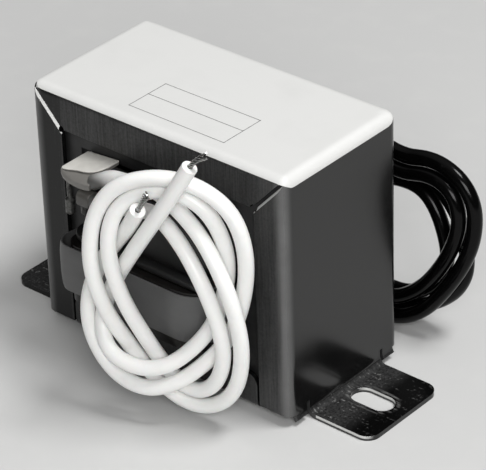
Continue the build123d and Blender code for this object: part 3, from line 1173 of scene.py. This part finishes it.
@dataclass
class MouldedBobbin:
    """Split bobbin: tube, three flanges, and a hood and collar for the leads front and rear."""

    tube_x: float = 9.14
    tube_y: float = 13.2
    hole_x: float = 8.14
    hole_y: float = 12.2
    tube_corner: float = 1.0
    flange_x: float = 14.2
    flange_y: float = 17.8
    top_flange_y: float = 14.2
    flange: float = 1.0
    flange_corner: float = 3.0
    edge: float = 0.15
    levels: tuple[float, ...] = (10.14, 21.44, 32.74)
    corner_steps: int = 8
    hood_top: Span = (33.85, 34.4)
    hood_root: float = 12.2
    collar_x: Span = (-10.6, -8.0)
    collar_y: Span = (16.85, 19.3)
    collar_z: Span = (28.84, 31.44)
    collar_corner: float = 0.9
    # Along the hood: place, front edge of its top plate, front of its lip, bottom of its lip
    hood: tuple[tuple[float, float, float, float], ...] = (
        (-14.30, 17.95, 18.15, 33.30), (-14.20, 18.10, 18.35, 33.00), (-14.05, 18.18, 18.50, 32.78),
        (-13.60, 18.22, 18.72, 32.45), (-12.90, 18.05, 18.88, 32.20), (-12.10, 17.75, 18.97, 32.05),
        (-11.30, 17.55, 19.02, 31.98), (-10.40, 17.48, 19.05, 31.95), (-9.60, 17.22, 19.05, 31.97),
        (-9.00, 16.85, 19.05, 32.02), (-8.50, 16.30, 19.05, 32.10), (-8.20, 15.60, 19.00, 32.15),
        (-8.00, 14.70, 18.95, 32.20),
    )

    def build(self) -> None:
        """Makes the bobbin in the place of its node."""
        corners: list[Vector] = []
        faces: Faces = []
        top = self.levels[-1]
        pieces = [self.plate(self.tube_x, self.tube_y, self.tube_corner, self.levels[0], top + self.flange)]
        for level in self.levels:
            reach = self.flange_y if level < top else self.top_flange_y
            corner = self.flange_corner if level < top else self.tube_corner
            pieces.append(self.plate(self.flange_x, reach, corner, level, level + self.flange))
        for way in (-1, 1):
            pieces += [self.lead_hood(way), self.collar(way)]
        for spots, sides in pieces:
            base = len(corners)
            corners += [spot * MM for spot in spots]
            faces += [tuple(base + number for number in side) for side in sides]
        piece = new_mesh("moulded_bobbin", corners, faces, NYLON.material())
        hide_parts("bobbin")
        LOG.info("%s: %d faces", piece.name, len(faces))

    def plate(self, half_x: float, half_y: float, corner: float, low: float, high: float) -> Shell:
        """Makes a flat ring round the core's middle leg, with soft outer edges.

        Args:
            half_x: Half its length.
            half_y: Half its width.
            corner: Radius of its corners.
            low: Height of its underside.
            high: Height of its top.

        Returns:
            Corners in millimetres and faces.
        """
        edge = self.edge
        rings = [
            (half_x - edge, half_y - edge, corner - edge, low), (half_x, half_y, corner, low + edge),
            (half_x, half_y, corner, high - edge), (half_x - edge, half_y - edge, corner - edge, high),
            (self.hole_x, self.hole_y, edge, high), (self.hole_x, self.hole_y, edge, low),
        ]
        spots: list[Vector] = []
        for x, y, radius, height in rings:
            walk = rounded_outline(-x, x, -y, y, (radius,) * 4, self.corner_steps)
            spots += [spot + Vector((0, 0, height)) for spot in walk]
        return spots, bridge(len(rings), len(spots) // len(rings), Ends.JOINED)

    def lead_hood(self, way: int) -> Shell:
        """Makes the hood that the first lead comes out of: a flat top over a bellied lip.

        Args:
            way: -1 in front, 1 at the rear.

        Returns:
            Corners in millimetres and faces.
        """
        spots: list[Vector] = []
        first, last = self.hood[0][0], self.hood[-1][0]
        for x, crest, belly, low in self.hood:
            top = self.hood_top[0] + (self.hood_top[1] - self.hood_top[0]) * (x - first) / (last - first)
            swell = belly - crest
            # Over the top plate to its thin edge, down the bellied lip and back under it
            section = [
                (self.hood_root, top), (crest - 0.5, top + 0.02), (crest - 0.07, top), (crest, top - 0.07),
                (crest - 0.01, top - 0.22), (crest - 0.3, top - 0.3), (crest - 0.2, top - 0.5),
                (crest + 0.3 * swell, 0.8 * top + 0.2 * low),
                (crest + 0.75 * swell, 0.65 * top + 0.35 * low), (belly, 0.45 * top + 0.55 * low),
                (belly - 0.02, 0.2 * top + 0.8 * low), (belly - 0.08, low + 0.08), (belly - 0.2, low),
                (belly - 0.42, low + 0.06), (self.collar_y[0], low + 0.3), (self.hood_root, low + 0.5),
            ]
            spots += [Vector((x, way * out, height)) for out, height in section]
        return spots, bridge(len(self.hood), len(spots) // len(self.hood), Ends.CAPPED)

    def collar(self, way: int) -> Shell:
        """Makes the rounded block that the second lead comes out of.

        Args:
            way: -1 in front, 1 at the rear.

        Returns:
            Corners in millimetres and faces.
        """
        spots, faces = soft_slab(*self.collar_x, self.edge, lambda inset: rounded_outline(
            self.collar_y[0], self.collar_y[1] - inset, self.collar_z[0] + inset, self.collar_z[1] - inset,
            (self.collar_corner,) * 4, self.corner_steps))
        return [spot * Vector((1, way, 1)) for spot in spots], faces


@dataclass(frozen=True)
class WindowCard:
    """Dark card in the window beside a coil, standing in for the shade there, so that no light shows
    through.
    """

    name: str
    near: float
    far: float
    low: float
    high: float
    half_depth: float = 11.7
    edge: float = 0.2
    corner: float = 0.6
    corner_steps: int = 4

    def build(self, side: int, finish: bpy.types.Material) -> None:
        """Makes the card as a slab with soft edges.

        Args:
            side: -1 at the left of the coil, 1 at the right.
            finish: Its finish.
        """
        spots, faces = soft_slab(self.near, self.far, self.edge, lambda inset: rounded_outline(
            -self.half_depth + inset, self.half_depth - inset, self.low + inset, self.high - inset,
            (self.corner,) * 4, self.corner_steps))
        corners = [spot * Vector((side, 1, 1)) * MM for spot in spots]
        new_mesh(f"{self.name}_{'left' if side < 0 else 'right'}", corners, faces, finish)


@dataclass
class Coil:
    """Windings, their tape, the cards beside them and the solder joints."""

    left_corner: float = 3.05
    primary_corner: float = 6.45
    primary_swell: float = 1.7
    secondary_corner: float = 4.35
    # Dark cards that stand in for shade in the windows
    cards: tuple[WindowCard, ...] = (
        WindowCard("window_card", near=14.72, far=15.74, low=10.3, high=33.6),
        WindowCard("filler_card", near=12.64, far=14.6, low=22.6, high=32.55),
    )

    def build(self) -> None:
        """Makes the tape bands and the cards."""
        finish = SHADE_CARD.material()
        for side in (-1, 1):
            for card in self.cards:
                card.build(side, finish)
        TapeBand(
            "primary_wrap", GREY_TAPE.material(), "grey_tape", self.left_corner, self.primary_corner,
            swell=self.primary_swell).build()
        TapeBand(
            "secondary_wrap", DARK_TAPE.material(), "dark_tape", self.left_corner,
            self.secondary_corner).build()

    def dress(self) -> None:
        """Gives the windings and solder joints their finishes."""
        wire = WIRE.material()
        for name in ("primary_winding", "secondary_winding"):
            dress(name, wire)
        solder = SOLDER.material()
        for colour in LeadColour:
            for number in (1, 2):
                dress(f"{colour.value}_joint_{number}", solder)


@dataclass
class FoldedFrame:
    """Folded channel frame, its keeper and the core that they hold."""

    def dress(self) -> None:
        """Gives the sheet-metal pieces and the core their finishes."""
        steel = FRAME_STEEL.material()
        core = CORE_STEEL.material()
        for name in ("channel_frame", "base_channel"):
            dress(name, steel)
        for name in ("e_laminations", "i_laminations"):
            dress(name, core)


@dataclass
class Label:
    """Blank white film label, bent down over the frame's top edges, with an empty ruled panel."""

    flat_x: float = 23.42
    flat_y: float = 11.6
    bend: float = 1.55
    wrap_left: float = 0.75
    wrap_right: float = 2.7
    wrap_front: float = 1.75
    wrap_back: float = 0.75
    corners: Corners = (1.9, 1.9, 1.6, 2.6)
    least_corner: float = 0.3
    thickness: float = 0.15
    rim: float = 0.05
    insets: tuple[float, ...] = (0.05, 0.3, 0.6, 0.9, 1.2, 1.5, 1.8, 2.1, 2.4, 2.7, 3.0, 3.4)
    corner_steps: int = 16
    side_steps: int = 60
    rule_width: float = 0.13
    lift: float = 0.015
    rules: list[tuple[Span, Span]] = field(default_factory=list)

    def build(self) -> None:
        """Makes the film in the place of its node, and prints the rules on it."""
        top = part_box("label")[1].z / MM
        left, right = -self.flat_x - self.wrap_left, self.flat_x + self.wrap_right
        front, back = -self.flat_y - self.wrap_front, self.flat_y + self.wrap_back
        rings = [(0.0, -self.thickness), (0.0, -self.rim)] + [(inset, 0.0) for inset in self.insets]
        corners: list[Vector] = []
        for inset, lift in rings:
            walk = rounded_outline(
                left + inset, right - inset, front + inset, back - inset,
                tuple(max(corner - inset, self.least_corner) for corner in self.corners),
                self.corner_steps, self.side_steps)
            corners += [self.bent(spot.x, spot.y, lift, top) * MM for spot in walk]
        count = len(corners) // len(rings)
        faces = bridge(len(rings), count, Ends.OPEN)
        faces.append(tuple(range(len(corners) - count, len(corners))))
        piece = new_mesh("label_film", corners, faces, FILM.material())
        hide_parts("label")
        self.print_rules(top + self.lift)
        LOG.info("label: %d faces, %d rules", len(faces), len(self.rules))

    def bent(self, x: float, y: float, lift: float, top: float) -> Vector:
        """Lays a point of the flat film over the frame's top and its bends.

        Args:
            x: Place along the flat film.
            y: Place across it.
            lift: Height over the film's face.
            top: Height of the film's face.

        Returns:
            The point on the frame, in millimetres.
        """
        over = Vector((max(abs(x) - self.flat_x, 0.0), max(abs(y) - self.flat_y, 0.0)))
        reach = over.length
        angle = min(reach / self.bend, math.pi / 2)
        radius = self.bend + lift
        out = over.normalized() * radius * math.sin(angle)
        drop = self.bend - radius * math.cos(angle) + max(reach - self.bend * math.pi / 2, 0.0)
        return Vector((
            math.copysign(min(abs(x), self.flat_x) + out.x, x),
            math.copysign(min(abs(y), self.flat_y) + out.y, y), top - drop))

    def print_rules(self, top: float) -> None:
        """Lays the printed rules on the film.

        Args:
            top: Height of the print in millimetres.
        """
        corners: list[Vector] = []
        faces: Faces = []
        half = self.rule_width / 2
        for rule in self.rules:
            start, end = (Vector((*spot, top)) for spot in rule)
            along = (end - start).normalized()
            across = Vector((-along.y, along.x, 0)) * half
            base = len(corners)
            for spot in (start - along * half, end + along * half):
                corners += [(spot + across) * MM, (spot - across) * MM]
            faces.append((base, base + 1, base + 3, base + 2))
        new_mesh("label_rules", corners, faces, PRINT.material())


@dataclass(frozen=True)
class PhotoCamera:
    """Camera that stands where the photograph was taken.

    Angles are in degrees, distances in millimetres, the focal length and width in pixels,
    and the clipping range in metres.
    """

    azimuth: float = 41.429
    elevation: float = 31.555
    roll: float = -2.036
    distance: float = 455.78
    right: float = 3.424
    up: float = 15.707
    focal: float = 2920.36
    width: int = 486
    sensor: float = 36.0
    clip: Span = (0.01, 20.0)

    def build(self) -> None:
        """Makes the camera and puts it in use."""
        azimuth, elevation, roll = (math.radians(v) for v in (self.azimuth, self.elevation, self.roll))
        reach = math.cos(elevation)
        back = Vector((math.sin(azimuth) * reach, -math.cos(azimuth) * reach, math.sin(elevation)))
        level = Vector((0, 0, 1)).cross(back).normalized()
        rise = back.cross(level)
        right = level * math.cos(roll) + rise * math.sin(roll)
        up = rise * math.cos(roll) - level * math.sin(roll)
        eye = (right * self.right + up * self.up + back * self.distance) * MM
        data = bpy.data.cameras.new("photo_camera")
        data.sensor_width = self.sensor
        data.lens = self.focal / self.width * self.sensor
        data.clip_start, data.clip_end = self.clip
        camera = bpy.data.objects.new("photo_camera", data)
        turn = Matrix((right, up, back)).transposed().to_4x4()
        camera.matrix_world = Matrix.Translation(eye) @ turn
        bpy.context.scene.collection.objects.link(camera)
        bpy.context.scene.camera = camera


@dataclass(frozen=True)
class Lamp:
    """One soft lamp, longer one way, with its place and sizes in metres."""

    name: str
    place: Spot
    length: float
    width: float
    power: float
    aim: Spot = (0.0, 0.0, 0.02)

    def build(self) -> None:
        """Makes the lamp, turned to the part."""
        data = bpy.data.lights.new(self.name, "AREA")
        data.shape = "RECTANGLE"
        data.size = self.length
        data.size_y = self.width
        data.energy = self.power
        lamp = bpy.data.objects.new(self.name, data)
        lamp.location = self.place
        lamp.rotation_euler = (Vector(self.aim) - lamp.location).to_track_quat("-Z", "Y").to_euler()
        bpy.context.scene.collection.objects.link(lamp)


@dataclass
class Studio:
    """Plain pale floor and soft light, in metres."""

    floor_size: float = 6.0
    paper: MattSheet = MattSheet("seamless_paper_floor", "#cbcbca", 0.75, tooth=0.6)
    sky_colour: str = "#ffffff"
    sky_low: float = 0.08
    sky_high: float = 0.5
    sky_rise: Span = (0.55, 1.0)
    lamps: tuple[Lamp, ...] = (
        Lamp("key_lamp", (0.30, 0.12, 0.80), 0.30, 0.22, 4.7),
        Lamp("front_lamp", (0.50, -0.50, 0.46), 0.4, 0.3, 4.0),
    )

    def build(self) -> None:
        """Makes the floor, the lamps and the sky."""
        half = self.floor_size / 2
        mesh = bpy.data.meshes.new("floor")
        corners = [(-half, -half, 0), (half, -half, 0), (half, half, 0), (-half, half, 0)]
        mesh.from_pydata(corners, [], [(0, 1, 2, 3)])
        mesh.materials.append(self.paper.material())
        floor = bpy.data.objects.new("floor", mesh)
        bpy.context.scene.collection.objects.link(floor)
        for lamp in self.lamps:
            lamp.build()
        self.build_sky()
        bpy.context.scene.view_settings.view_transform = "Standard"

    def build_sky(self) -> None:
        """Makes a soft white sky, brightest overhead and dim near the floor."""
        world = bpy.data.worlds.new("soft_sky")
        world.use_nodes = True
        tree = world.node_tree
        tree.nodes.clear()
        way = add_node(tree, "TexCoord").outputs["Generated"]
        rise = add_node(tree, "SeparateXYZ", way).outputs["Z"]
        glow = add_node(tree, "MapRange", rise, *self.sky_rise, self.sky_low, self.sky_high)
        add_node(tree, "OutputWorld", add_node(tree, "Background", linear(self.sky_colour), glow))
        bpy.context.scene.world = world


# Control points of the leads in millimetres, from the guide to the stripped end
WHITE_1 = [
    (-8.3, -17.55, 33.05), (-6.7, -17.4, 33.9), (-4.6, -17.3, 35.1), (-1.4, -17.9, 35.8), (4.5, -19.8, 38.4),
    (9.1, -19.4, 36.7), (14.6, -20.0, 34.0), (18.5, -20.3, 29.1), (20.6, -19.7, 22.8), (21.2, -18.9, 15.7),
    (19.7, -18.6, 8.5), (16.0, -18.8, 3.9), (11.3, -19.7, 2.5), (6.0, -20.7, 4.8), (2.4, -22.2, 10.1),
    (0.7, -26.0, 18.3), (-0.6, -27.4, 26.3), (-0.2, -26.7, 34.2), (2.7, -25.0, 39.9), (8.5, -22.6, 42.5),
    (14.2, -20.2, 42.2), (19.1, -18.1, 38.7), (20.8, -16.9, 32.2), (19.8, -16.3, 23.7), (17.3, -17.0, 15.7),
    (14.1, -19.1, 10.9), (11.2, -22.7, 7.9), (6.6, -24.9, 6.1), (0.8, -25.4, 7.4), (-3.5, -25.1, 12.0),
    (-4.1, -24.8, 18.0), (-1.9, -24.0, 24.6), (1.2, -22.6, 29.4), (4.6, -23.7, 33.4), (7.3, -24.7, 37.4),
]
WHITE_2 = [
    (-8.0, -18.05, 30.2), (-4.6, -18.05, 30.2), (1.5, -19.2, 33.0), (6.2, -19.6, 33.9), (11.3, -20.3, 31.1),
    (15.7, -20.9, 26.2), (18.2, -20.5, 19.8), (18.5, -19.9, 13.7), (16.3, -19.7, 8.1), (12.5, -19.9, 5.5),
    (8.4, -20.1, 6.6), (4.8, -21.5, 12.1), (3.5, -25.3, 21.3), (2.0, -26.3, 29.1), (2.7, -25.3, 35.8),
    (6.0, -22.7, 39.2), (11.0, -20.5, 40.0), (15.2, -18.9, 37.7), (17.4, -17.8, 32.8), (17.2, -16.8, 26.1),
    (15.3, -17.7, 18.3), (12.7, -19.6, 13.6), (10.2, -23.3, 10.8), (5.8, -25.4, 9.8), (0.8, -26.3, 11.5),
    (-1.9, -24.3, 15.5), (-0.25, -22.9, 21.5), (5.55, -23.4, 30.3), (12.0, -24.0, 39.5), (16.2, -23.0, 46.9),
]
BLACK_1 = [
    (-8.0, 17.8, 32.9), (-4.6, 17.8, 32.9), (0.2, 19.0, 34.6), (5.2, 20.2, 35.0), (11.0, 20.8, 32.6),
    (18.7, 21.2, 29.3), (25.0, 21.5, 30.9), (30.2, 21.5, 29.3), (33.0, 21.4, 25.5), (33.3, 21.0, 20.3),
    (31.8, 20.4, 15.1), (28.7, 19.7, 9.5), (25.2, 19.1, 4.8), (20.4, 18.8, 1.7), (14.6, 18.8, 1.5),
    (8.9, 19.1, 3.8), (4.9, 19.8, 8.5), (3.9, 20.8, 14.8), (5.4, 21.9, 20.0), (9.0, 23.0, 24.2),
    (14.0, 23.9, 26.6), (19.4, 24.3, 26.6), (24.3, 24.3, 24.4), (28.0, 24.1, 20.6), (29.7, 23.7, 16.5),
    (30.6, 23.0, 12.3), (29.1, 22.7, 8.4), (25.8, 22.6, 5.1), (21.6, 22.3, 2.7), (16.8, 22.0, 1.8),
    (11.9, 21.6, 2.9), (7.7, 22.1, 6.3), (5.0, 22.8, 10.9), (4.2, 23.7, 15.9), (5.6, 24.9, 20.8),
    (8.6, 25.9, 24.6),
]
BLACK_2 = [
    (-8.0, 18.05, 30.2), (-4.6, 18.05, 30.2), (0.2, 18.3, 31.3), (5.2, 19.0, 31.5), (11.0, 19.9, 29.4),
    (19.2, 20.6, 26.8), (24.9, 20.8, 28.4), (29.1, 20.8, 27.0), (30.9, 20.5, 23.2), (30.3, 20.1, 18.7),
    (27.9, 19.7, 13.3), (24.2, 19.4, 8.2), (18.8, 19.3, 4.4), (13.0, 19.3, 5.2), (8.8, 19.9, 8.9),
    (7.0, 20.8, 14.0), (8.4, 22.0, 19.0), (12.3, 23.2, 22.6), (16.8, 23.9, 23.4), (20.9, 23.9, 23.3),
    (23.7, 23.7, 21.2), (25.8, 23.3, 17.6), (27.2, 22.7, 13.8), (26.3, 22.2, 9.9), (23.2, 21.9, 6.4),
    (19.2, 21.8, 4.6), (14.6, 21.8, 4.6), (10.3, 22.1, 7.4), (7.6, 23.0, 11.6), (7.0, 24.0, 16.3),
    (8.6, 25.1, 20.6), (11.8, 26.2, 23.4),
]
WHITE_1_TIP = [(1.7, -0.6, 2.4), (2.9, -1.0, 4.0)]
WHITE_2_TIP = [(1.5, 0.3, 1.75), (2.9, 0.6, 2.5)]
BLACK_1_TIP = [(1.6, 0.5, 1.9), (2.6, 0.7, 3.1)]
BLACK_2_TIP = [(1.9, 0.6, 1.6), (3.3, 0.9, 2.5)]

# Empty ruled panel on the label: start and end of each rule in millimetres
PANEL_LEFT, PANEL_RIGHT = -7.6, 10.9
PANEL_BACK, PANEL_MIDDLE, PANEL_FRONT = -1.6, -5.5, -9.8
LABEL_RULES = [
    *(((PANEL_LEFT, y), (PANEL_RIGHT, y)) for y in (PANEL_BACK, PANEL_MIDDLE, PANEL_FRONT)),
    *(((x, PANEL_BACK), (x, PANEL_FRONT)) for x in (PANEL_LEFT, PANEL_RIGHT)),
]


def main() -> None:
    """Builds and dresses every piece in order."""
    logging.basicConfig(level=logging.INFO, format="%(name)s %(message)s")
    PhotoCamera().build()
    Studio().build()
    metal = TINNED.material()
    for colour, vinyl, leads in (
        (LeadColour.WHITE, WHITE_VINYL.material(), ((WHITE_1, WHITE_1_TIP), (WHITE_2, WHITE_2_TIP))),
        (LeadColour.BLACK, BLACK_VINYL.material(), ((BLACK_1, BLACK_1_TIP), (BLACK_2, BLACK_2_TIP))),
    ):
        for number, (route, tip) in enumerate(leads, start=1):
            Lead(colour, number, route, tip, vinyl, metal).build()
    MouldedBobbin().build()
    coil = Coil()
    coil.build()
    coil.dress()
    FoldedFrame().dress()
    Label(rules=LABEL_RULES).build()


if __name__ == "__main__":
    main()
